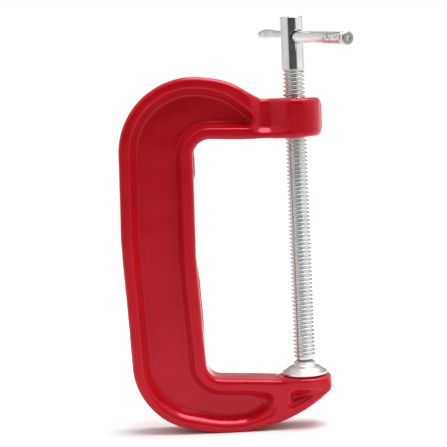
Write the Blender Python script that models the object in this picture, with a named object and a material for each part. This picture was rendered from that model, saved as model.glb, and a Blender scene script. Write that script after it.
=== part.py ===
"""Three-inch C clamp: cast frame, 5/16-18 screw, sliding tommy bar and swivel pad.

The origin is the centre of the anvil face.  +Z runs up the screw, +X points from the
frame's spine to the screw, and the clamp is closed.  Sizes are in millimetres until
MM turns them into Blender's metres.
"""

import math

import bmesh
import bpy
from mathutils import Matrix, Vector

MM = 0.001

# Driving dimensions, in millimetres.
THROAT = 36.9           # spine's inner face to the screw's axis
SPINE_WIDTH = 26.1      # inner face to outer face of the spine
RIM_THICKNESS = 14.0    # frame across its raised rims, along Y
WEB_THICKNESS = 6.0     # frame across its sunk web
RIM_WIDTH = 3.9         # from the outline to the pocket's mouth
POCKET_DRAFT = 1.9      # run of the pocket's sloping wall
EDGE_RADIUS = 1.6       # rounding of the frame's outline edges

BOSS_RADIUS = 9.2
BOSS_BOTTOM = 84.9
BOSS_TOP = 98.9
ARM_CREST = 107.6       # highest point of the frame
KEEL = -18.6            # lowest point of the frame
ANVIL_RADIUS = 9.4
ANVIL_DEPTH = 3.3
ARM_STEP = 0.5          # anvil face above the lower arm

PITCH = 25.4 / 18
MAJOR_RADIUS = 25.4 * 5 / 16 / 2
MINOR_RADIUS = MAJOR_RADIUS - 0.613 * PITCH
THREAD_CLEARANCE = 0.3
THREAD_SEGMENTS = 16
THREAD_START = 5.2      # lowest root of the thread
THREAD_TURNS = 73

PAD_GAP = 0.45          # pad's face above the anvil
PAD_RADIUS = 8.2
PAD_BAND = 0.7          # height of the upright edge round the pad
LIP_RADIUS = 3.9
LIP_TOP = 4.65
BALL_RADIUS = 3.3
BALL_CENTRE = 3.3
BALL_FLAT = 1.5         # height at which the ball and its socket are cut flat
BALL_TOP = 4.75
SOCKET_CLEARANCE = 0.2
NECK_FOOT = 5.05        # plain end of the screw, just above the ball
NECK_RADIUS = 2.75

HEAD_RADIUS = 3.95
HEAD_TOP = 127.0
BAR_HEIGHT = 120.0      # where the bar's axis crosses the screw's axis
BAR_RADIUS = 2.1
BAR_HOLE_RADIUS = 2.45
BAR_HEADING = 30.0      # degrees from -Y towards +X
BAR_DROOP = 3.3         # degrees that the long end hangs, within the hole's clearance
BAR_LONG = 34.0         # from the screw's axis to the button end
BAR_SHORT = 21.0        # from the screw's axis to the swaged end
BAR_BULB_RADIUS = 2.6
BUTTON_RADIUS = 2.5
CHAMFER = 0.5

ROUND_STEP = math.radians(10)


def clear_scene():
    for obj in list(bpy.data.objects):
        bpy.data.objects.remove(obj, do_unlink=True)


def material(name, colour, roughness, metallic):
    made = bpy.data.materials.new(name)
    made.use_nodes = True
    shader = made.node_tree.nodes["Principled BSDF"]
    shader.inputs["Base Color"].default_value = (*colour, 1.0)
    shader.inputs["Roughness"].default_value = roughness
    shader.inputs["Metallic"].default_value = metallic
    made.diffuse_color = (*colour, 1.0)
    return made


def link_mesh(name, bm, finish=None, smooth=True):
    """Turns a bmesh in millimetres into an object in metres, faces pointing out."""
    bmesh.ops.recalc_face_normals(bm, faces=bm.faces)
    bmesh.ops.scale(bm, vec=(MM, MM, MM), verts=bm.verts)
    mesh = bpy.data.meshes.new(name)
    bm.to_mesh(mesh)
    bm.free()
    obj = bpy.data.objects.new(name, mesh)
    bpy.context.scene.collection.objects.link(obj)
    if smooth:
        mesh.shade_smooth()
        mesh.set_sharp_from_angle(angle=math.radians(35))
    if finish:
        mesh.materials.append(finish)
    return obj


def cutter(name, bm):
    obj = link_mesh(name, bm, smooth=False)
    obj.hide_render = True
    obj.display_type = "WIRE"
    return obj


def boolean(target, tool, operation):
    made = target.modifiers.new(tool.name, "BOOLEAN")
    made.operation = operation
    made.object = tool
    made.solver = "EXACT"


def rounded(corners):
    """Closed outline through (x, z, radius) corners, each turned by an arc of its radius."""
    points = []
    for i, (x, z, radius) in enumerate(corners):
        here = Vector((x, z))
        before = Vector(corners[i - 1][:2]) - here
        after = Vector(corners[(i + 1) % len(corners)][:2]) - here
        if not radius:
            points.append((x, z))
            continue
        half = before.angle(after) / 2
        turn = math.pi - 2 * half
        middle = (before.normalized() + after.normalized()).normalized()
        centre = here + middle * (radius / math.sin(half))
        start = here + before.normalized() * (radius / math.tan(half)) - centre
        side = 1 if before.x * after.y - before.y * after.x < 0 else -1
        steps = max(2, round(turn / ROUND_STEP))
        for k in range(steps + 1):
            spoke = Matrix.Rotation(side * turn * k / steps, 2) @ start
            points.append(tuple(centre + spoke))
    return points


def inset(points, distance):
    """The outline moved inwards, for one that runs anticlockwise seen from -Y."""
    moved = []
    for i, point in enumerate(points):
        here = Vector(point)
        along = (here - Vector(points[i - 1])).normalized()
        onward = (Vector(points[(i + 1) % len(points)]) - here).normalized()
        inward = Vector((-along.y - onward.y, along.x + onward.x)).normalized()
        stretch = max(0.5, inward.dot(Vector((-along.y, along.x))))
        moved.append(tuple(here + inward * (distance / stretch)))
    return moved


def loft(rings):
    """Closed body through rings of (x, y, z) with equal counts, capped at both ends."""
    bm = bmesh.new()
    made = [[bm.verts.new(point) for point in ring] for ring in rings]
    count = len(rings[0])
    for lower, upper in zip(made, made[1:]):
        for i in range(count):
            j = (i + 1) % count
            bm.faces.new((lower[i], lower[j], upper[j], upper[i]))
    bm.faces.new(made[0])
    bm.faces.new(made[-1])
    return bm


def slab(layers):
    """Body between outlines in planes of constant Y, given as (y, outline) layers."""
    return loft([[(x, y, z) for x, z in outline] for y, outline in layers])


def turned(profile, segments):
    """Solid of revolution about Z through (radius, z) points, from bottom to top."""
    angles = [math.tau * k / segments for k in range(segments)]
    return loft([
        [(radius * math.cos(a), radius * math.sin(a), z) for a in angles]
        for radius, z in profile
    ])


def helix(minor, major, start, turns, lead_in):
    """A V thread about Z.  Its root leaves angle 0 at height start, and its crest grows
    to the full radius over the first and last lead_in of a turn."""
    bm = bmesh.new()
    steps = turns * THREAD_SEGMENTS
    ramp = lead_in * THREAD_SEGMENTS

    def vert(radius, step, rise):
        angle = math.tau * step / THREAD_SEGMENTS
        height = start + PITCH * (step / THREAD_SEGMENTS + rise)
        return bm.verts.new((radius * math.cos(angle), radius * math.sin(angle), height))

    roots = [vert(minor, k, 0.0) for k in range(steps + THREAD_SEGMENTS + 1)]
    crests = []
    for k in range(steps + 1):
        share = min(1.0, 0.1 + k / ramp, 0.1 + (steps - k) / ramp) if ramp else 1.0
        crests.append(vert(minor + (major - minor) * share, k, 0.5))
    for k in range(steps):
        above = k + THREAD_SEGMENTS
        bm.faces.new((roots[k], roots[k + 1], crests[k + 1], crests[k]))
        bm.faces.new((crests[k], crests[k + 1], roots[above + 1], roots[above]))
    for first, crest in ((0, crests[0]), (steps, crests[-1])):
        end = roots[first:first + THREAD_SEGMENTS + 1]
        axis = bm.verts.new((0.0, 0.0, (end[0].co.z + end[-1].co.z) / 2))
        for a, b in zip([*end, crest], [*end[1:], crest, end[0]]):
            bm.faces.new((axis, a, b))
    return bm


def bar_frame():
    """Matrix that lays local +Z along the tommy bar, towards its button end."""
    heading = math.radians(BAR_HEADING)
    droop = math.radians(BAR_DROOP)
    level = Vector((math.sin(heading), -math.cos(heading), 0.0))
    along = level * math.cos(droop) - Vector((0.0, 0.0, math.sin(droop)))
    turn = along.to_track_quat("Z", "Y").to_matrix().to_4x4()
    return Matrix.Translation((0.0, 0.0, BAR_HEIGHT)) @ turn


def frame_corners():
    """The C's outline as (x, z, radius) corners, anticlockwise seen from -Y."""
    outer = -THROAT - SPINE_WIDTH
    return [
        (0.0, BOSS_TOP, 0.0),
        (-12.5, BOSS_TOP + 0.4, 7.5),
        (-23.3, ARM_CREST - 1.6, 25.3),
        (outer + 1.2, ARM_CREST + 4.5, 26.5),
        (outer - 0.2, 52.0, 90.0),
        (outer + 2.3, KEEL + 5.9, 24.4),
        (-12.3, KEEL - 4.9, 53.0),
        (ANVIL_RADIUS - 0.3, -4.6, 2.2),
        (ANVIL_RADIUS - 1.0, -ARM_STEP, 2.0),
        (-ANVIL_RADIUS, 0.1 - ARM_STEP, 20.0),
        (1.7 - THROAT, 1.0, 4.9),
        (-THROAT - 0.3, 42.0, 90.0),
        (0.4 - THROAT, BOSS_BOTTOM + 1.0, 5.0),
        (-8.0, BOSS_BOTTOM, 0.0),
        (0.0, BOSS_BOTTOM, 0.0),
    ]


def moved_in(corners, first, last, distance):
    """Corners first to last of an outline moved inwards, with their arcs' centres kept."""
    moved = []
    for i in range(first, last + 1):
        x, z, radius = corners[i]
        here = Vector((x, z))
        along = (here - Vector(corners[i - 1][:2])).normalized()
        onward = (Vector(corners[i + 1][:2]) - here).normalized()
        inward = Vector((-along.y - onward.y, along.x + onward.x)).normalized()
        place = here + inward * (distance / inward.dot(Vector((-along.y, along.x))))
        turn = along.x * onward.y - along.y * onward.x
        moved.append((place.x, place.y, radius - math.copysign(distance, turn)))
    return moved


def main_pocket():
    """Mouth of the long pocket, which follows the outline one rim's width inside it."""
    corners = frame_corners()
    return rounded([
        (-15.1, 92.4, 2.2),
        *moved_in(corners, 2, 5, RIM_WIDTH),
        (-24.5, KEEL + 1.8, 36.0),
        (-11.0, KEEL + 6.4, 3.0),
        (-11.0, -4.3, 2.6),
        *moved_in(corners, 10, 12, RIM_WIDTH),
        (-17.6, BOSS_BOTTOM + 4.0, 2.2),
    ])


def neck_pocket():
    """Mouth of the dip between the long pocket's nose and the boss."""
    return rounded([
        (-6.0, 97.6, 0.0),
        (-13.9, 98.0, 2.0),
        (-13.9, 87.9, 2.0),
        (-6.0, 87.9, 0.0),
    ])


def tip_pocket():
    """Mouth of the three-cornered pocket under the anvil."""
    return rounded([(3.4, -5.4, 1.0), (-6.4, -5.2, 1.0), (-6.4, -10.4, 1.0)])


def pocket_cutters(name, mouth, draft, floor):
    """A pair of cutters, one for each side, from the rim's face down to the floor."""
    outside = RIM_THICKNESS / 2 + 1.0
    rim = RIM_THICKNESS / 2
    made = []
    for side, word in ((-1, "front"), (1, "back")):
        layers = [
            (side * outside, mouth),
            (side * rim, mouth),
            (side * floor, inset(mouth, draft)),
        ]
        made.append(cutter(f"{name}_{word}", slab(layers)))
    return made


def clamp_frame(finish):
    outline = rounded(frame_corners())
    half = RIM_THICKNESS / 2
    shoulder = half - EDGE_RADIUS * 0.45
    side = half - EDGE_RADIUS
    layers = [
        (-half, inset(outline, EDGE_RADIUS)),
        (-shoulder, inset(outline, EDGE_RADIUS * 0.35)),
        (-side, outline),
        (side, outline),
        (shoulder, inset(outline, EDGE_RADIUS * 0.35)),
        (half, inset(outline, EDGE_RADIUS)),
    ]
    frame = link_mesh("clamp_frame", slab(layers), finish)
    floor = WEB_THICKNESS / 2
    for tool in (
        *pocket_cutters("main_pocket", main_pocket(), POCKET_DRAFT, floor),
        *pocket_cutters("neck_pocket", neck_pocket(), 1.2, floor + 1.2),
        *pocket_cutters("tip_pocket", tip_pocket(), 0.3, floor + 1.2),
    ):
        boolean(frame, tool, "DIFFERENCE")
    edge = EDGE_RADIUS * 0.8
    boss = cutter("boss", turned([
        (BOSS_RADIUS - edge, BOSS_BOTTOM - 0.03),
        (BOSS_RADIUS, BOSS_BOTTOM + edge),
        (BOSS_RADIUS, BOSS_TOP - edge),
        (BOSS_RADIUS - edge, BOSS_TOP + 0.03),
    ], 48))
    anvil = cutter("anvil", turned([
        (ANVIL_RADIUS - 1.6, -ANVIL_DEPTH - 1.6),
        (ANVIL_RADIUS, -ANVIL_DEPTH),
        (ANVIL_RADIUS, -0.6),
        (ANVIL_RADIUS - 0.6, 0.0),
    ], 48))
    boolean(frame, boss, "UNION")
    boolean(frame, anvil, "UNION")
    turns_below = round((BOSS_BOTTOM - THREAD_START) / PITCH) - 2
    tapped_turns = math.ceil((BOSS_TOP - BOSS_BOTTOM) / PITCH) + 3
    tap = cutter("tap", helix(
        MINOR_RADIUS + THREAD_CLEARANCE,
        MAJOR_RADIUS + THREAD_CLEARANCE,
        THREAD_START + turns_below * PITCH,
        tapped_turns,
        0,
    ))
    boolean(frame, tap, "DIFFERENCE")
    return frame


def clamp_screw(finish):
    """Threaded rod with a plain drilled head above and a narrow neck down to the ball."""
    screw = link_mesh(
        "clamp_screw",
        helix(MINOR_RADIUS, MAJOR_RADIUS, THREAD_START, THREAD_TURNS, 1),
        finish,
    )
    thread_end = THREAD_START + (THREAD_TURNS + 0.5) * PITCH
    head = cutter("head", turned([
        (MINOR_RADIUS - 0.4, thread_end - 3.0),
        (MINOR_RADIUS - 0.4, thread_end - 0.7),
        (HEAD_RADIUS, thread_end),
        (HEAD_RADIUS, HEAD_TOP - CHAMFER),
        (HEAD_RADIUS - CHAMFER, HEAD_TOP),
    ], 32))
    neck = cutter("neck", turned([
        (NECK_RADIUS - 0.2, NECK_FOOT),
        (NECK_RADIUS, NECK_FOOT + 0.2),
        (NECK_RADIUS, NECK_FOOT + 3.0),
    ], 24))
    hole = cutter("bar_hole", turned([
        (BAR_HOLE_RADIUS, -HEAD_RADIUS * 2),
        (BAR_HOLE_RADIUS, HEAD_RADIUS * 2),
    ], 24))
    level = Vector((math.sin(math.radians(BAR_HEADING)), -math.cos(math.radians(BAR_HEADING)), 0))
    hole.rotation_euler = level.to_track_quat("Z", "Y").to_euler()
    hole.location = (0.0, 0.0, BAR_HEIGHT * MM)
    boolean(screw, head, "UNION")
    boolean(screw, neck, "UNION")
    boolean(screw, hole, "DIFFERENCE")
    return screw


def arc_profile(centre, radius, low, high, steps):
    """(radius, z) points of a sphere's outline between two heights."""
    first = math.asin(max(-1.0, (low - centre) / radius))
    last = math.asin(min(1.0, (high - centre) / radius))
    angles = [first + (last - first) * k / steps for k in range(steps + 1)]
    return [(radius * math.cos(a), centre + radius * math.sin(a)) for a in angles]


def screw_ball_tip(finish):
    outline = arc_profile(BALL_CENTRE, BALL_RADIUS, BALL_FLAT, BALL_TOP, 8)
    ball = turned(outline, 24)
    return link_mesh("screw_ball_tip", ball, finish)


def swivel_pad(finish):
    """Shallow cone with an upright edge, crimped over the ball."""
    body = turned([
        (PAD_RADIUS - 0.3, PAD_GAP),
        (PAD_RADIUS, PAD_GAP + 0.25),
        (PAD_RADIUS, PAD_GAP + PAD_BAND),
        (LIP_RADIUS + 1.6, LIP_TOP - 1.75),
        (LIP_RADIUS + 0.2, LIP_TOP - 0.35),
        (LIP_RADIUS - 0.15, LIP_TOP),
    ], 48)
    pad = link_mesh("swivel_pad", body, finish)
    hollow = BALL_RADIUS + SOCKET_CLEARANCE
    socket = arc_profile(BALL_CENTRE, hollow, BALL_FLAT - SOCKET_CLEARANCE, LIP_TOP, 8)
    tool = cutter("socket", turned([*socket, (socket[-1][0], LIP_TOP + 1.0)], 24))
    boolean(pad, tool, "DIFFERENCE")
    return pad


def handle_bar(finish):
    """Tommy bar: swaged bulb at one end, groove and button at the other."""
    groove = BAR_LONG - 1.9
    bar = turned([
        (BAR_RADIUS * 0.5, -BAR_SHORT),
        (BAR_RADIUS * 0.9, -BAR_SHORT + 0.9),
        (BAR_BULB_RADIUS, -BAR_SHORT + 4.0),
        (BAR_BULB_RADIUS, -BAR_SHORT + 7.0),
        (BAR_RADIUS, -BAR_SHORT + 11.5),
        (BAR_RADIUS, groove - 0.5),
        (BAR_RADIUS * 0.85, groove),
        (BUTTON_RADIUS - 0.3, groove + 0.4),
        (BUTTON_RADIUS, groove + 0.8),
        (BUTTON_RADIUS, BAR_LONG - 0.4),
        (BUTTON_RADIUS - 0.4, BAR_LONG),
    ], 20)
    return link_mesh("handle_bar", bar, finish)


def build():
    clear_scene()
    enamel = material("red_enamel", (0.45, 0.008, 0.018), 0.28, 0.0)
    zinc = material("zinc_plate", (0.74, 0.75, 0.74), 0.24, 1.0)
    steel = material("polished_steel", (0.78, 0.78, 0.77), 0.16, 1.0)
    clamp_frame(enamel)
    clamp_screw(zinc)
    screw_ball_tip(zinc)
    swivel_pad(steel)
    bar = handle_bar(zinc)
    place = bar_frame()
    place.translation *= MM
    bar.matrix_world = place


build()
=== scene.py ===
"""A three-inch C clamp's looks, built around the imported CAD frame.

Lengths in the modelling code are millimetres in the row frame: the origin is the centre of
the anvil face, +Z runs up the screw and +X points from the frame's spine to the screw.
"""

import math

import bpy
import numpy as np
from mathutils import Matrix, Vector

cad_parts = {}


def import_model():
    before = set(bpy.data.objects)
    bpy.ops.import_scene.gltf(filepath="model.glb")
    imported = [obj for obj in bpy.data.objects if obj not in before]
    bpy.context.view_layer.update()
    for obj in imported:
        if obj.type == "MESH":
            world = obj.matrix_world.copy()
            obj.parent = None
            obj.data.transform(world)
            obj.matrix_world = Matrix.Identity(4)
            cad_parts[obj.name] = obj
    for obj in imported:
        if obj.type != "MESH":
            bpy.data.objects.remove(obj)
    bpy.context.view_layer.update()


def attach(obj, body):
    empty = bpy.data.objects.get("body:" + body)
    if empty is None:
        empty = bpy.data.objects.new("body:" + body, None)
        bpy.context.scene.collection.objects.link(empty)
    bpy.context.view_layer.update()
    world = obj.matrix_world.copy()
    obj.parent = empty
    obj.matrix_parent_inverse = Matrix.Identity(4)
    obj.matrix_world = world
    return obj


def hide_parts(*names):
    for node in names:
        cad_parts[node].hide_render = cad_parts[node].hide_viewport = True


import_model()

MM = 0.001
TAU = math.tau

# The casting.
RIM_HALF = 7.0          # half the frame's thickness at its rims
WEB_HALF = 3.0
EDGE_ROUND = 1.7
BOSS_RADIUS = 9.0
BOSS_BOTTOM = 84.9
BOSS_TOP = 98.9
BORE_RADIUS = 4.22      # plain hole that clears the thread
BORE_BEVEL = 0.6
ANVIL_RADIUS = 9.4
ANVIL_DEPTH = 4.0
ANVIL_FACE = -0.03      # just below Z = 0, so that the tilted pad clears it
KEEL = -18.6            # the frame's lowest height
UPPER_ARM = 60.0        # cuts of the upper arm and the boss act above this height
NO_CUT = -9.0           # distance for a cut that doesn't reach a point
GRID = 0.48             # cell of the casting's mesh

# The screw and what hangs on it.
PITCH = 25.4 / 18
MAJOR = 25.4 * 5 / 16 / 2
MINOR = MAJOR - 0.613 * PITCH
THREAD_START = 5.3
THREAD_END = 110.3
HEAD_RADIUS = 3.95
HEAD_FOOT = 108.3
HEAD_TOP = 127.0
HEAD_ROUND = 0.45
BAR_HEIGHT = 120.0      # where the bar's axis crosses the screw's
BAR_HEADING = math.radians(30.0)    # from -Y towards +X
BAR_DROOP = math.radians(3.3)       # how far the long end hangs
BAR_RADIUS = 2.1
BAR_HOLE = 2.42
BAR_LONG = 34.0         # from the screw's axis to the button's end
BAR_SHORT = 21.0        # from the screw's axis to the swaged end
DIE_MARKS = (           # place along the bar, width, depth
    (-19.6, 1.1, 0.22),
    (24.6, 2.6, 0.16),
    (28.2, 1.2, 0.13),
)

# Colours, linear.
ENAMEL_DEEP = (0.43, 0.003, 0.006)
ENAMEL_BRIGHT = (0.48, 0.004, 0.008)
ENAMEL_SPECK = (0.38, 0.002, 0.005)
ENAMEL_MIRROR = (1.0, 0.22, 0.32)
DRAWN_LIGHT = (0.92, 0.92, 0.91)
DRAWN_DARK = (0.84, 0.84, 0.83)
DIE_STAIN = (0.34, 0.20, 0.24)
CUT_END = (0.36, 0.36, 0.35)
GROOVE_SHADE = (0.10, 0.10, 0.10)
PAPER_DARK = (0.86, 0.86, 0.86)
PAPER_LIGHT = (0.88, 0.88, 0.88)
# painted shade for the floor in front of the object, on the camera's side
PAPER_FRONT_SHADE = (0.52, 0.52, 0.52)
WHITE = (1.0, 1.0, 1.0)

# The camera and the light, in metres.
LENS = 114.19           # millimetres, on a sensor SENSOR wide
SENSOR = 36.0
CAMERA_PLACE = (-0.02679, -0.5, 0.108)
CAMERA_PITCH = math.radians(5.991)
CAMERA_ROLL = math.radians(-2.583)
SOFTBOX_PLACE = (0.16, -0.05, 0.85)
SOFTBOX_AIM = (-0.02, 0.0, 0.05)
SOFTBOX_WIDTH = 0.62
SOFTBOX_DEPTH = 0.56
SOFTBOX_RADIANCE = 7.6
FLOOR_RADII = (0.0001, 0.05, 0.2, 0.6, 1.2, 2.4, 4.0)
FLOOR_SIDES = 96
FLOOR_GAP = 0.05        # millimetres between the floor and the keel


# ---------------------------------------------------------------- outlines and distances

def rounded(corners, step=math.radians(4)):
    """Closed outline through (x, z, radius) corners, each turned by an arc of its radius."""
    points = []
    for i, (x, z, radius) in enumerate(corners):
        here = np.array((x, z), float)
        before = np.array(corners[i - 1][:2]) - here
        after = np.array(corners[(i + 1) % len(corners)][:2]) - here
        if not radius:
            points.append(here)
            continue
        before /= np.linalg.norm(before)
        after /= np.linalg.norm(after)
        half = math.acos(np.clip(before @ after, -1, 1)) / 2
        turn = math.pi - 2 * half
        middle = before + after
        middle /= np.linalg.norm(middle)
        centre = here + middle * (radius / math.sin(half))
        start = here + before * (radius / math.tan(half)) - centre
        side = 1 if before[0] * after[1] - before[1] * after[0] < 0 else -1
        count = max(3, round(turn / step))
        for k in range(count + 1):
            a = side * turn * k / count
            points.append(centre + np.array((
                start[0] * math.cos(a) - start[1] * math.sin(a),
                start[0] * math.sin(a) + start[1] * math.cos(a),
            )))
    return np.array(points)


def outline_distance(points, outline):
    """Signed distance from (n, 2) points to a closed outline, negative inside."""
    best = np.full(len(points), 1e9)
    inside = np.zeros(len(points), bool)
    for a, b in zip(outline, np.roll(outline, -1, axis=0)):
        edge = b - a
        length = edge @ edge
        if length < 1e-12:
            continue
        rel = points - a
        share = np.clip(rel @ edge / length, 0, 1)
        gap = rel - share[:, None] * edge
        best = np.minimum(best, np.einsum("ij,ij->i", gap, gap))
        crosses = (a[1] > points[:, 1]) != (b[1] > points[:, 1])
        if crosses.any():
            at = a[0] + (points[:, 1] - a[1]) / (b[1] - a[1] + 1e-30) * edge[0]
            inside ^= crosses & (points[:, 0] < at)
    return np.sqrt(best) * np.where(inside, -1, 1)


class Chart:
    """A function of (x, z) kept on a fine grid and read back between its points."""

    LOW = np.array((-68.0, -23.0))
    HIGH = np.array((15.0, 112.5))
    CELL = 0.25

    def __init__(self, outline):
        self.count = np.ceil((self.HIGH - self.LOW) / self.CELL).astype(int) + 1
        x = self.LOW[0] + np.arange(self.count[0]) * self.CELL
        z = self.LOW[1] + np.arange(self.count[1]) * self.CELL
        grid = np.stack(np.meshgrid(x, z, indexing="ij"), -1).reshape(-1, 2)
        self.values = outline_distance(grid, outline).reshape(self.count)

    def __call__(self, x, z):
        u = np.clip((x - self.LOW[0]) / self.CELL, 0, self.count[0] - 1.001)
        w = np.clip((z - self.LOW[1]) / self.CELL, 0, self.count[1] - 1.001)
        i, j = u.astype(int), w.astype(int)
        u, w = u - i, w - j
        v = self.values
        return ((v[i, j] * (1 - u) + v[i + 1, j] * u) * (1 - w)
                + (v[i, j + 1] * (1 - u) + v[i + 1, j + 1] * u) * w)


def smooth_step(value, low, high):
    t = np.clip((value - low) / (high - low), 0, 1)
    return t * t * (3 - 2 * t)


def round_max(a, b, radius):
    """Intersection of two distances with a rounded outer corner."""
    u, v = a + radius, b + radius
    out = np.hypot(np.maximum(u, 0), np.maximum(v, 0))
    return np.minimum(np.maximum(u, v), 0) + out - radius


def round_min(a, b, radius):
    """Union of two distances with a filleted inner corner."""
    return -round_max(-a, -b, radius)


def ramp(value, softness):
    """max(value, 0) with its corner rounded over softness on each side."""
    return np.where(
        value <= -softness, 0.0,
        np.where(value >= softness, value, (value + softness) ** 2 / (4 * softness)),
    )


def waves(x, y, z, seed, wavelength):
    """Smooth random field of unit size, the same on every run."""
    rng = np.random.default_rng(seed)
    total = 0.0
    for _ in range(9):
        direction = rng.normal(size=3)
        direction *= TAU / wavelength * rng.uniform(0.6, 1.4) / np.linalg.norm(direction)
        phase = rng.uniform(0, TAU)
        total = total + np.sin(direction[0] * x + direction[1] * y + direction[2] * z + phase)
    return total / 3.0


# ---------------------------------------------------------------- meshes

def new_object(name, verts, faces):
    """Smooth-shaded object in metres from vertices in millimetres."""
    mesh = bpy.data.meshes.new(name)
    mesh.from_pydata((np.asarray(verts, float) * MM).tolist(), [], faces)
    mesh.validate()
    mesh.shade_smooth()
    obj = bpy.data.objects.new(name, mesh)
    bpy.context.scene.collection.objects.link(obj)
    return obj


def surface_net(field, low, high, cell):
    """Quad mesh of the surface field = 0, with its vertices moved onto the surface."""
    low, high = np.array(low, float), np.array(high, float)
    count = np.ceil((high - low) / cell).astype(int) + 1
    axes = [low[k] + np.arange(count[k]) * cell for k in range(3)]
    x, y, z = np.meshgrid(*axes, indexing="ij")
    values = field(x.ravel(), y.ravel(), z.ravel()).reshape(count)
    inside = values < 0
    cells = tuple(count - 1)
    total = np.zeros((*cells, 3))
    hits = np.zeros(cells)
    corner = np.stack(np.meshgrid(*[np.arange(n) for n in cells], indexing="ij"), -1)

    def part(array, dx, dy, dz):
        return array[dx:dx + cells[0], dy:dy + cells[1], dz:dz + cells[2]]

    for axis in range(3):
        others = [k for k in range(3) if k != axis]
        for p in (0, 1):
            for q in (0, 1):
                start = [0, 0, 0]
                start[others[0]], start[others[1]] = p, q
                end = list(start)
                end[axis] = 1
                a, b = part(values, *start), part(values, *end)
                change = (a < 0) != (b < 0)
                share = np.where(change, a / np.where(change, a - b, 1), 0)
                for k in range(3):
                    place = corner[..., k] + start[k] + (share if k == axis else 0)
                    total[..., k] += np.where(change, place, 0)
                hits += change
    active = hits > 0
    index = -np.ones(cells, int)
    index[active] = np.arange(active.sum())
    points = low + cell * total[active] / hits[active][:, None]

    faces = []
    for axis in range(3):
        u, v = (axis + 1) % 3, (axis + 2) % 3
        lead = [slice(None)] * 3
        lead[axis] = slice(0, count[axis] - 1)
        trail = [slice(None)] * 3
        trail[axis] = slice(1, count[axis])
        first, second = inside[tuple(lead)], inside[tuple(trail)]
        where = np.argwhere(first != second)
        keep = ((where[:, u] > 0) & (where[:, u] < count[u] - 1)
                & (where[:, v] > 0) & (where[:, v] < count[v] - 1))
        where = where[keep]
        outward = first[tuple(where.T)]
        ring = []
        for du, dv in ((-1, -1), (0, -1), (0, 0), (-1, 0)):
            at = where.copy()
            at[:, u] += du
            at[:, v] += dv
            ring.append(index[tuple(at.T)])
        ring = np.stack(ring, -1)
        ring[~outward] = ring[~outward][:, ::-1]
        faces.append(ring)
    faces = np.concatenate(faces)

    edges = np.concatenate([faces[:, [k, (k + 1) % 4]] for k in range(4)])
    degree = np.bincount(edges.ravel(), minlength=len(points))
    for turn in range(5):
        if turn < 3:
            mean = np.zeros_like(points)
            for k in range(3):
                mean[:, k] = (np.bincount(edges[:, 0], points[edges[:, 1], k], len(points))
                              + np.bincount(edges[:, 1], points[edges[:, 0], k], len(points)))
            points += 0.5 * (mean / degree[:, None] - points)
        points = onto(field, points, cell)
    return points, faces


def gradient(field, points, reach=0.12):
    """Slope of the field at each point, from its values at reach to either side."""
    slopes = []
    for k in range(3):
        ahead, behind = points.copy(), points.copy()
        ahead[:, k] += reach
        behind[:, k] -= reach
        slopes.append((field(*ahead.T) - field(*behind.T)) / (2 * reach))
    return np.stack(slopes, -1)


def onto(field, points, cell):
    """Points moved along the field's slope to where it is zero, by half a cell at most."""
    value = field(*points.T)
    slope = gradient(field, points)
    step = -value[:, None] * slope / np.maximum((slope ** 2).sum(1), 0.05)[:, None]
    size = np.linalg.norm(step, axis=1)
    return points + step * np.minimum(1, 0.5 * cell / np.maximum(size, 1e-9))[:, None]


# ---------------------------------------------------------------- casting

FRAME_CORNERS = [
    (0.0, 98.9, 0.0),
    (-12.5, 99.1, 7.5),
    (-23.3, 106.0, 25.3),
    (-61.7, 112.1, 26.5),
    (-63.1, 52.0, 90.0),
    (-60.6, -12.7, 24.4),
    (-12.3, -23.5, 53.0),
    (9.1, -4.6, 2.2),
    (8.4, -0.5, 2.0),
    (-9.4, -0.4, 20.0),
    (-34.8, 1.0, 5.6),
    (-37.0, 42.0, 90.0),
    (-36.4, 85.9, 6.2),
    (-8.0, 84.9, 0.0),
    (0.0, 84.9, 0.0),
]
RIM = 3.9               # outline to the mouth of the sunk web
TIP_CORNERS = [(4.0, -5.3, 0.8), (-6.4, -5.1, 1.0), (-6.4, -10.6, 1.0)]


def moved_in(corners, first, last, distance):
    """Corners first to last of an outline moved inwards, with their arcs' centres kept."""
    moved = []
    for i in range(first, last + 1):
        x, z, radius = corners[i]
        here = np.array((x, z))
        along = here - corners[i - 1][:2]
        onward = np.array(corners[i + 1][:2]) - here
        along /= np.linalg.norm(along)
        onward /= np.linalg.norm(onward)
        inward = np.array((-along[1] - onward[1], along[0] + onward[0]))
        place = here + inward * (distance / (inward @ np.array((-along[1], along[0]))))
        turn = along[0] * onward[1] - along[1] * onward[0]
        moved.append((place[0], place[1], radius - math.copysign(distance, turn)))
    return moved


def pocket_corners():
    """The long pocket's mouth: RIM inside the outline, with its own nose and tail."""
    return [
        (-13.6, 93.4, 2.6),
        *moved_in(FRAME_CORNERS, 2, 5, RIM),
        (-24.5, -16.8, 36.0),
        (-11.0, -12.2, 4.2),
        (-11.0, -4.3, 3.8),
        *moved_in(FRAME_CORNERS, 10, 12, RIM),
        (-15.4, 88.9, 2.2),
    ]


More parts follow.
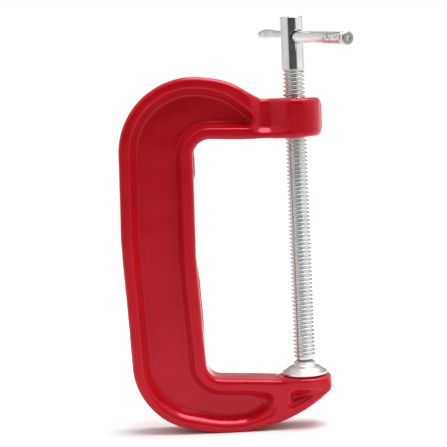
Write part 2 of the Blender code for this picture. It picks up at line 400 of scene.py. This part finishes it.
def casting_field():
    """The casting as a distance that is negative inside the metal."""
    body = Chart(rounded(FRAME_CORNERS))
    pocket = Chart(rounded(pocket_corners()))
    tip = Chart(rounded(TIP_CORNERS))

    def half_thickness(x, z):
        depth = RIM_HALF - WEB_HALF
        # the wall is steep all round, but along the keel it starts near 45 degrees and
        # at the tip's end it runs out gently
        keel = smooth_step(-z, 2.0, 9.0) * smooth_step(-x, 14.0, 24.0)
        tail = smooth_step(-z, -6.0, 2.0) * smooth_step(x, -22.0, -13.0)
        inside = -pocket(x, z) + 0.6 * keel
        steep = inside * depth / (2.2 + 1.8 * tail)
        gentle = 1.05 * inside + 1.3 * ramp(inside - 1.7, 0.3)
        drop = steep * (1 - keel) + gentle * keel
        sunk = ramp(drop, 0.8) - ramp(drop - depth, 1.1)
        # the dip between the long pocket's nose and the boss
        dip = smooth_step(x, -17.0, -11.0) * smooth_step(z, 86.4, 89.8)
        dip = dip * (1 - smooth_step(z, 99.5, 102.5))
        sunk = np.maximum(sunk, 2.0 * dip)
        # the three-cornered pocket under the anvil
        hollow = ramp(-tip(x, z) * 1.1, 1.0)
        sunk = np.maximum(sunk, np.minimum(hollow, 1.6 + 0.1 * hollow))
        return RIM_HALF - sunk

    def field(x, y, z):
        wobble = (0.07 * waves(x, y, z, seed=3, wavelength=21.0)
                  + 0.03 * waves(x, y, z, seed=5, wavelength=8.0))
        edge = body(x, z)
        plate = round_max(edge, np.abs(y) - half_thickness(x, z), EDGE_ROUND)
        radius = np.hypot(x, y)
        middle = (BOSS_TOP + BOSS_BOTTOM) / 2
        boss = round_max(
            radius - BOSS_RADIUS, np.abs(z - middle) - (BOSS_TOP - BOSS_BOTTOM) / 2, 1.9)
        anvil = round_max(
            radius - ANVIL_RADIUS, np.abs(z + ANVIL_DEPTH / 2) - ANVIL_DEPTH / 2, 1.1)
        solid = round_min(plate, boss, 2.4)
        solid = round_min(solid, anvil, 1.8)
        # the arm and the boss share one flat underside and one flat top
        under = np.where((z > UPPER_ARM) & (x > -14.0), BOSS_BOTTOM - z, NO_CUT)
        crown = BOSS_TOP + 0.25 * smooth_step(-x, 7.0, 12.0)
        over = np.where((z > UPPER_ARM) & (x > -12.5), z - crown, NO_CUT)
        solid = round_max(round_max(solid, under, 0.8), over, 0.8)
        ridge = np.exp(-(y / 0.55) ** 2) * flash(x, z)
        solid = solid - wobble - ridge
        # the anvil's machined face, then the hole for the screw with its bevelled mouths
        flat = np.where((np.abs(z) < 6.0) & (radius < 10.5), z - ANVIL_FACE, NO_CUT)
        solid = round_max(solid, flat, 0.3)
        bevel = (np.maximum(0, BORE_BEVEL - (BOSS_TOP - z))
                 + np.maximum(0, BORE_BEVEL - (z - BOSS_BOTTOM)))
        bore = np.where(z > UPPER_ARM, BORE_RADIUS + bevel - radius, NO_CUT)
        return np.maximum(solid, bore)

    return field


def flash(x, z):
    """How far the parting line's flash stands proud, in millimetres."""
    inner = np.exp(-((x + 37.0) / 3.0) ** 2)
    low = smooth_step(z, 8, 22) * (1 - smooth_step(z, 34, 46))
    upper = smooth_step(z, 70, 74) * (1 - smooth_step(z, 79, 83))
    boss_side = smooth_step(x, 6.5, 8.5) * smooth_step(z, 86, 88) * (1 - smooth_step(z, 96, 98))
    return inner * (0.6 * low + 0.65 * upper) + 0.4 * boss_side


def clamp_body():
    points, faces = surface_net(
        casting_field(), (-66.0, -11.2, -20.5), (11.5, 11.2, 110.0), GRID)
    return new_object("frame_casting", points, faces.tolist())


# ---------------------------------------------------------------- screw, bar, pad and ball

THREAD_SIDES = 40
THREAD_PROFILE = (      # share of a pitch, share of the thread's depth
    (0.000, 0.00), (0.090, 0.00), (0.135, 0.05), (0.180, 0.17), (0.260, 0.42), (0.340, 0.70),
    (0.400, 0.90), (0.440, 0.985), (0.500, 1.00), (0.560, 0.985), (0.600, 0.90),
    (0.660, 0.70), (0.740, 0.42), (0.820, 0.17), (0.865, 0.05), (0.910, 0.00),
)


def thread_surface(start, end, core):
    """Right-hand thread between two heights, with run-outs and flat caps, as one closed mesh."""
    rows = len(THREAD_PROFILE)
    turns = int((end - start) / PITCH) - 1
    verts, faces = [], []

    def height(row, side):
        turn, k = divmod(row, rows)
        return start + PITCH * (turn + THREAD_PROFILE[k][0] + side / THREAD_SIDES)

    last = turns * rows
    for row in range(last + 1):
        share = THREAD_PROFILE[row % rows][1]
        for side in range(THREAD_SIDES):
            z = height(row, side)
            fade = min(1.0, (z - start) / (1.1 * PITCH), (end - z) / (1.3 * PITCH))
            radius = core + (MAJOR - core) * share * max(0.0, fade)
            a = TAU * side / THREAD_SIDES
            verts.append((radius * math.cos(a), radius * math.sin(a), z))

    def at(row, side):
        if side < THREAD_SIDES:
            return row * THREAD_SIDES + side
        return (row + rows) * THREAD_SIDES

    for row in range(last):
        for side in range(THREAD_SIDES):
            if side == THREAD_SIDES - 1 and row + rows + 1 > last:
                continue
            faces.append((
                at(row, side), at(row, side + 1), at(row + 1, side + 1), at(row + 1, side),
            ))
    # flat caps, joined to the helix by one many-sided face at its seam
    foot = len(verts)
    crown = foot + THREAD_SIDES
    for z in (start - 0.02, end):
        for side in range(THREAD_SIDES):
            a = TAU * side / THREAD_SIDES
            verts.append((core * math.cos(a), core * math.sin(a), z))
    for side in range(THREAD_SIDES - 1):
        faces.append((foot + side, foot + side + 1, at(0, side + 1), at(0, side)))
        faces.append((at(last, side), at(last, side + 1), crown + side + 1, crown + side))
    tail = THREAD_SIDES - 1
    seam = [at(row, 0) for row in range(rows + 1)]
    faces.append((foot + tail, foot, *seam, at(0, tail)))
    seam = [at(row, 0) for row in range(last, last - rows - 1, -1)]
    top_seam = [at(row, tail) for row in range(last - rows, last + 1)]
    faces.append((crown + tail, *reversed(top_seam), *reversed(seam), crown))
    faces.append(tuple(foot + side for side in reversed(range(THREAD_SIDES))))
    faces.append(tuple(crown + side for side in range(THREAD_SIDES)))
    return verts, faces


def lathe(profile, sides, shape=None):
    """Closed mesh of (radius, z) rings about Z; shape may move a ring's point sideways."""
    verts, faces = [], []
    for radius, z in profile:
        for side in range(sides):
            a = TAU * side / sides
            x, y = radius * math.cos(a), radius * math.sin(a)
            verts.append(shape(x, y, z) if shape else (x, y, z))
    for ring in range(len(profile) - 1):
        for side in range(sides):
            onward = (side + 1) % sides
            faces.append((
                ring * sides + side, ring * sides + onward,
                (ring + 1) * sides + onward, (ring + 1) * sides + side,
            ))
    faces.append(tuple(reversed(range(sides))))
    faces.append(tuple((len(profile) - 1) * sides + side for side in range(sides)))
    return verts, faces


def smooth_profile(points, spacing):
    """Profile through the points, resampled along straight runs."""
    out = [points[0]]
    for (r0, z0), (r1, z1) in zip(points, points[1:]):
        count = max(1, round(math.hypot(r1 - r0, z1 - z0) / spacing))
        for k in range(1, count + 1):
            out.append((r0 + (r1 - r0) * k / count, z0 + (z1 - z0) * k / count))
    return out


def arc(radius, centre, first, last, steps):
    """(radius, z) points on a circle in the profile's plane, angles in degrees."""
    points = []
    for k in range(steps + 1):
        a = math.radians(first + (last - first) * k / steps)
        points.append((centre[0] + radius * math.cos(a), centre[1] + radius * math.sin(a)))
    return points


def bar_matrix():
    """The bar's place: local Z runs along it to the button and local X is level."""
    level = Vector((math.sin(BAR_HEADING), -math.cos(BAR_HEADING), 0.0))
    along = level * math.cos(BAR_DROOP) - Vector((0.0, 0.0, math.sin(BAR_DROOP)))
    across = along.cross(Vector((0.0, 0.0, 1.0))).normalized()
    turn = Matrix((-across, across.cross(along), along)).transposed().to_4x4()
    return Matrix.Translation((0.0, 0.0, BAR_HEIGHT * MM)) @ turn


def screw_head():
    """Plain end of the screw, cross-drilled for the bar."""
    level = (math.sin(BAR_HEADING), -math.cos(BAR_HEADING))

    def field(x, y, z):
        shank = round_max(np.hypot(x, y) - HEAD_RADIUS, z - HEAD_TOP, HEAD_ROUND)
        shank = round_max(shank, HEAD_FOOT - z, 0.2)
        from_hole = np.hypot(x * level[1] - y * level[0], z - BAR_HEIGHT)
        return round_max(shank, BAR_HOLE - from_hole, 0.05)

    points, faces = surface_net(field, (-4.6, -4.6, 107.4), (4.6, 4.6, 127.6), 0.26)
    head = new_object("screw_head", points, faces.tolist())
    head.data.set_sharp_from_angle(angle=math.radians(40))
    return head


def screw_rod():
    """Threaded length of the screw, and the plain neck between it and the ball."""
    verts, faces = thread_surface(THREAD_START, THREAD_END, MINOR)
    rod = new_object("screw_thread", verts, faces)
    neck = lathe([(2.4, 4.78), (2.72, 4.85), (2.75, 5.3), (2.75, 6.3), (2.4, 6.6)], 40)
    return rod, new_object("screw_neck", *neck)


def tommy_bar():
    """Sliding handle along local Z, swaged at its lower end and with a button at its upper."""
    def bell(s, centre, width):
        return math.exp(-((s - centre) / width) ** 2)

    def shape(x, y, s):
        swage = bell(s, -15.6, 3.6)
        x *= 1 - 0.14 * swage
        y *= 1 + 0.08 * swage
        angle = math.atan2(y, x)
        for centre, width, depth in DIE_MARKS:
            bite = depth * bell(s, centre, width) * max(0.0, math.cos(2 * angle)) ** 2
            x -= math.copysign(bite, x)
        return x, y, s

    tip = -BAR_SHORT
    end = BAR_LONG
    profile = [(0.25, tip + 0.01), (0.8, tip + 0.10), (1.25, tip + 0.36), (1.6, tip + 0.75)]
    profile += [(1.88, tip + 1.3), (2.08, tip + 2.0), (2.2, tip + 2.8)]
    s = tip + 3.2
    while s < 31.4:
        swell = 0.24 * math.exp(-((s + 15.2) / 3.8) ** 4)
        profile.append((BAR_RADIUS + swell, s))
        s += 0.45
    # the groove, the button and the dimple in its end
    profile += [(2.1, 31.45), (1.95, 31.58), (1.6, 31.75), (1.5, 32.0), (1.6, 32.25)]
    profile += [(2.2, 32.45), (2.38, 32.55), (2.44, 32.75), (2.46, 33.1), (2.42, 33.45)]
    profile += [(2.28, 33.75), (2.0, end - 0.05), (1.8, end), (1.3, end), (0.8, end)]
    profile += [(0.62, end - 0.12), (0.4, end - 0.26), (0.2, end - 0.3)]
    obj = new_object("t_handle", *lathe(profile, 40, shape))
    obj.matrix_world = bar_matrix()
    bpy.context.view_layer.update()
    obj.data.transform(obj.matrix_world)
    obj.matrix_world = Matrix.Identity(4)
    return obj


def swivel_pad():
    """Shallow cone with a flat underside and a lip crimped over the ball."""
    outer = [(0.3, 0.95), (5.2, 0.95), (5.6, 0.85), (5.9, 0.55)]
    outer += arc(0.12, (6.1, 0.6), 200, 270, 3)
    outer += [(7.6, 0.47)] + arc(0.3, (7.85, 0.78), -80, 0, 4)
    outer += [(8.17, 1.05)] + arc(0.22, (7.95, 1.13), 5, 48, 3)
    outer += [(6.9, 1.98), (5.6, 3.02)]
    outer += arc(2.4, (6.0, 5.35), 232, 205, 4)
    outer += arc(0.22, (3.78, 4.40), 20, 160, 6)
    inner = arc(3.5, (0.0, 3.3), 17, -35, 8) + [(1.6, 1.25), (0.3, 1.22)]
    profile = smooth_profile(outer, 0.45) + smooth_profile(inner, 0.6)
    return new_object("swivel_pad_cone", *lathe(profile, 72))


def ball_tip():
    """The screw's ball, which the pad swivels on."""
    profile = arc(3.3, (0.0, 3.3), -32, 24, 12)
    profile = [(0.4, 1.52), (2.4, 1.52)] + profile + [(2.9, 4.76), (0.4, 4.77)]
    return new_object("screw_ball", *lathe(profile, 48))


# ---------------------------------------------------------------- materials

class Nodes:
    """Short hand for a material's node tree."""

    def __init__(self, name):
        self.material = bpy.data.materials.new(name)
        self.material.use_nodes = True
        self.tree = self.material.node_tree
        self.shader = self.tree.nodes["Principled BSDF"]
        self.coords = self.add("ShaderNodeTexCoord").outputs["Object"]

    def add(self, kind, **settings):
        node = self.tree.nodes.new(kind)
        for key, value in settings.items():
            setattr(node, key, value)
        return node

    def link(self, source, target):
        self.tree.links.new(source, target)

    def noise(self, scale, detail=3.0, rough=0.5, stretch=None):
        """Noise with this many cells to the metre."""
        node = self.add("ShaderNodeTexNoise")
        node.inputs["Scale"].default_value = scale
        node.inputs["Detail"].default_value = detail
        node.inputs["Roughness"].default_value = rough
        source = self.coords
        if stretch:
            mapping = self.add("ShaderNodeMapping")
            mapping.inputs["Scale"].default_value = stretch
            self.link(source, mapping.inputs["Vector"])
            source = mapping.outputs["Vector"]
        self.link(source, node.inputs["Vector"])
        return node.outputs["Fac"]

    def range(self, value, low, high, first=0.0, last=1.0):
        node = self.add("ShaderNodeMapRange")
        node.inputs["From Min"].default_value = first
        node.inputs["From Max"].default_value = last
        node.inputs["To Min"].default_value = low
        node.inputs["To Max"].default_value = high
        self.link(value, node.inputs["Value"])
        return node.outputs["Result"]

    def blend(self, factor, a, b):
        node = self.add("ShaderNodeMix", data_type="RGBA")
        self.link(factor, node.inputs["Factor"])
        for socket, colour in ((node.inputs["A"], a), (node.inputs["B"], b)):
            if isinstance(colour, tuple):
                socket.default_value = (*colour, 1.0)
            else:
                self.link(colour, socket)
        return node.outputs["Result"]

    def bump(self, height, distance, strength, normal=None):
        node = self.add("ShaderNodeBump")
        node.inputs["Strength"].default_value = strength
        node.inputs["Distance"].default_value = distance
        self.link(height, node.inputs["Height"])
        if normal:
            self.link(normal, node.inputs["Normal"])
        return node.outputs["Normal"]

    def multiply(self, a, b):
        node = self.add("ShaderNodeMath", operation="MULTIPLY")
        self.link(a, node.inputs[0])
        self.link(b, node.inputs[1])
        return node.outputs[0]

    def set(self, **values):
        """Link or set the shader's sockets, named with underscores for spaces."""
        for key, value in values.items():
            socket = self.shader.inputs[key.replace("_", " ")]
            if isinstance(value, bpy.types.NodeSocket):
                self.link(value, socket)
            elif isinstance(value, tuple):
                socket.default_value = (*value, 1.0)
            else:
                socket.default_value = value
        return self.material


def red_enamel():
    """Gloss red with faint patches, specks and orange peel."""
    n = Nodes("red_enamel_gloss")
    patches = n.range(n.noise(60, 4.0), 0.0, 1.0, 0.35, 0.65)
    specks = n.range(n.noise(900, 2.0), 0.0, 1.0, 0.40, 0.70)
    colour = n.blend(patches, ENAMEL_DEEP, ENAMEL_BRIGHT)
    colour = n.blend(n.range(specks, 0.0, 0.25), colour, ENAMEL_SPECK)
    peel = n.bump(n.noise(420, 2.0), 0.00010, 0.35)
    peel = n.bump(n.noise(1600, 2.0), 0.00003, 0.25, peel)
    return n.set(
        Base_Color=colour, Roughness=n.range(n.noise(150, 3.0), 0.12, 0.20),
        IOR=1.75, Specular_Tint=ENAMEL_MIRROR, Normal=peel)


def plated_steel(name, colour, rough_low, rough_high, stretch, depth):
    """Zinc plate over tool marks, which are noise stretched by stretch and depth metres deep."""
    n = Nodes(name)
    tone = n.range(n.noise(220, 4.0), 0.0, 1.0, 0.3, 0.7)
    base = n.blend(tone, colour, tuple(0.9 * c for c in colour))
    lines = n.noise(2500, 2.0, 0.6, stretch)
    marks = n.bump(lines, depth, 0.5)
    marks = n.bump(n.noise(500, 3.0), 0.00001, 0.2, marks)
    return n.set(
        Base_Color=base, Metallic=1.0, Normal=marks,
        Roughness=n.range(n.noise(350, 4.0), rough_low, rough_high))


def drawn_bar():
    """Plated bar with die marks beside its groove and a dull cut end."""
    n = Nodes("zinc_drawn")
    along = bar_matrix().to_3x3() @ Vector((0.0, 0.0, 1.0))
    axis = n.add("ShaderNodeVectorMath", operation="DOT_PRODUCT")
    n.link(n.coords, axis.inputs[0])
    axis.inputs[1].default_value = along
    place = axis.outputs["Value"]
    lift = BAR_HEIGHT * MM * along.z

    def beyond(first, last):
        """0 before first and 1 after last, in metres along the bar from the screw's axis."""
        return n.range(place, 0.0, 1.0, lift + first, lift + last)

    def before(first, last):
        return n.range(place, 1.0, 0.0, lift + first, lift + last)

    marks = n.range(n.noise(1100, 2.0, 0.6), 0.0, 1.0, 0.52, 0.60)
    marks = n.multiply(marks, beyond(0.0205, 0.0225))
    marks = n.multiply(marks, before(0.0300, 0.0312))
    groove = n.multiply(beyond(0.0315, 0.0317), before(0.0323, 0.0325))
    tone = n.range(n.noise(260, 4.0), 0.0, 1.0, 0.3, 0.7)
    base = n.blend(tone, DRAWN_LIGHT, DRAWN_DARK)
    base = n.blend(marks, base, DIE_STAIN)
    base = n.blend(beyond(0.0336, 0.0339), base, CUT_END)
    base = n.blend(groove, base, GROOVE_SHADE)
    bumps = n.bump(marks, 0.00005, 0.6)
    bumps = n.bump(n.noise(500, 3.0), 0.00002, 0.2, bumps)
    return n.set(
        Base_Color=base, Metallic=1.0, Normal=bumps,
        Roughness=n.range(n.noise(350, 4.0), 0.24, 0.36))


def paint(piece, material):
    piece.data.materials.clear()
    piece.data.materials.append(material)


# ---------------------------------------------------------------- assembly

def build_clamp():
    """The seven visual pieces, each on the body it moves with."""
    enamel = red_enamel()
    zinc = plated_steel("zinc_turned", (0.71, 0.73, 0.72), 0.18, 0.26, (1, 1, 8), 0.000004)
    plain = plated_steel("zinc_plain", (0.80, 0.81, 0.79), 0.07, 0.14, (8, 8, 1), 0.000006)
    drawn = drawn_bar()
    polished = plated_steel("pad_turned", (0.80, 0.80, 0.79), 0.26, 0.36, (1, 1, 6), 0.00001)

    casting = clamp_body()
    head = screw_head()
    rod, neck = screw_rod()
    ball = ball_tip()
    bar = tommy_bar()
    cone = swivel_pad()

    for piece, body, node, slot, material in (
        (casting, "frame", "clamp_frame", "red_enamel", enamel),
        (rod, "screw", "clamp_screw", "zinc_plate", zinc),
        (head, "screw", None, "zinc_plate", plain),
        (neck, "screw", None, "zinc_plate", zinc),
        (ball, "ball", "screw_ball_tip", "zinc_plate", zinc),
        (bar, "bar", "handle_bar", "zinc_plate", drawn),
        (cone, "pad", "swivel_pad", "polished_steel", polished),
    ):
        paint(piece, material)
        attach(piece, body)
        if node:
            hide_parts(node)


# ---------------------------------------------------------------- studio

def camera():
    """Camera pitched down from level and rolled about its own axis."""
    data = bpy.data.cameras.new("camera")
    data.sensor_width = SENSOR
    data.lens = LENS
    data.clip_start = 0.02
    data.clip_end = 30.0
    obj = bpy.data.objects.new("camera", data)
    bpy.context.scene.collection.objects.link(obj)
    forward = Vector((0.0, math.cos(CAMERA_PITCH), -math.sin(CAMERA_PITCH)))
    right = Vector((1.0, 0.0, 0.0))
    up = right.cross(forward)
    rolled = right * math.cos(CAMERA_ROLL) + up * math.sin(CAMERA_ROLL)
    upward = -right * math.sin(CAMERA_ROLL) + up * math.cos(CAMERA_ROLL)
    turn = Matrix((rolled, upward, -forward)).transposed().to_4x4()
    obj.matrix_world = Matrix.Translation(CAMERA_PLACE) @ turn
    bpy.context.scene.camera = obj


def softbox():
    data = bpy.data.lights.new("overhead", "AREA")
    data.shape = "RECTANGLE"
    data.size = SOFTBOX_WIDTH
    data.size_y = SOFTBOX_DEPTH
    data.energy = SOFTBOX_RADIANCE * math.pi * SOFTBOX_WIDTH * SOFTBOX_DEPTH
    obj = bpy.data.objects.new("overhead", data)
    bpy.context.scene.collection.objects.link(obj)
    obj.location = SOFTBOX_PLACE
    away = Vector(SOFTBOX_PLACE) - Vector(SOFTBOX_AIM)
    obj.rotation_mode = "QUATERNION"
    obj.rotation_quaternion = away.to_track_quat("Z", "Y")


def sky():
    """Studio surround: bright at the sides and low behind, dim where the camera stands."""
    world = bpy.data.worlds.new("studio")
    bpy.context.scene.world = world
    world.use_nodes = True
    tree = world.node_tree
    background = tree.nodes["Background"]
    coords = tree.nodes.new("ShaderNodeTexCoord")
    split = tree.nodes.new("ShaderNodeSeparateXYZ")
    tree.links.new(coords.outputs["Generated"], split.inputs[0])

    def ranged(source, low, high, first, last):
        node = tree.nodes.new("ShaderNodeMapRange")
        node.interpolation_type = "SMOOTHSTEP"
        node.inputs["From Min"].default_value = first
        node.inputs["From Max"].default_value = last
        node.inputs["To Min"].default_value = low
        node.inputs["To Max"].default_value = high
        tree.links.new(source, node.inputs["Value"])
        return node.outputs["Result"]

    def math_node(operation, a, b):
        node = tree.nodes.new("ShaderNodeMath")
        node.operation = operation
        for socket, value in ((node.inputs[0], a), (node.inputs[1], b)):
            tree.links.new(value, socket)
        return node.outputs[0]

    side = ranged(split.outputs["X"], 0.80, 1.05, -0.7, 0.7)
    front = ranged(split.outputs["Y"], 0.08, 1.0, -0.84, -0.66)
    back = ranged(split.outputs["Y"], 1.0, 0.4, 0.35, 0.8)
    level = math_node("MULTIPLY", math_node("MULTIPLY", side, front), back)
    # a full white band low behind, where the floor's edge meets the surround
    low = ranged(split.outputs["Z"], 1.0, 0.0, 0.08, 0.18)
    band = math_node("MULTIPLY", ranged(split.outputs["Y"], 0.0, 1.0, 0.3, 0.9), low)
    total = math_node("MAXIMUM", level, band)
    tree.links.new(total, background.inputs["Strength"])
    background.inputs["Color"].default_value = (*WHITE, 1.0)


def floor():
    """Pale floor with painted shade in front and a painted glow that grows towards its back edge
    to meet the surround.
    """
    verts, faces = [], []
    for radius in FLOOR_RADII:
        for k in range(FLOOR_SIDES):
            a = TAU * k / FLOOR_SIDES
            x, y = radius * math.cos(a), radius * math.sin(a)
            verts.append((x / MM, y / MM, KEEL - FLOOR_GAP))
    for level in range(len(FLOOR_RADII) - 1):
        here, outer = level * FLOOR_SIDES, (level + 1) * FLOOR_SIDES
        for k in range(FLOOR_SIDES):
            j = (k + 1) % FLOOR_SIDES
            faces.append((outer + k, outer + j, here + j, here + k))
    obj = new_object("studio_floor", verts, faces)
    n = Nodes("floor_paper")
    mottle = n.range(n.noise(30, 3.0), 0.0, 1.0, 0.3, 0.7)
    tone = n.blend(mottle, PAPER_DARK, PAPER_LIGHT)
    split = n.add("ShaderNodeSeparateXYZ")
    n.link(n.coords, split.inputs[0])
    # painted shade: the floor's base is darker in front of the object, on the camera's side
    front_shade = n.range(split.outputs["Y"], 1.0, 0.0, -0.25, -0.04)
    tone = n.blend(front_shade, tone, PAPER_FRONT_SHADE)
    # painted glow: the floor gives off more light towards its back edge
    glow = n.range(split.outputs["Y"], 0.0, 0.42, 0.0, 1.2)
    n.set(
        Base_Color=tone, Roughness=0.9, Specular_IOR_Level=0.1,
        Emission_Color=WHITE, Emission_Strength=glow)
    paint(obj, n.material)


def studio():
    camera()
    sky()
    floor()
    softbox()
    view = bpy.context.scene.view_settings
    view.view_transform = "Standard"
    view.look = "None"


build_clamp()
studio()
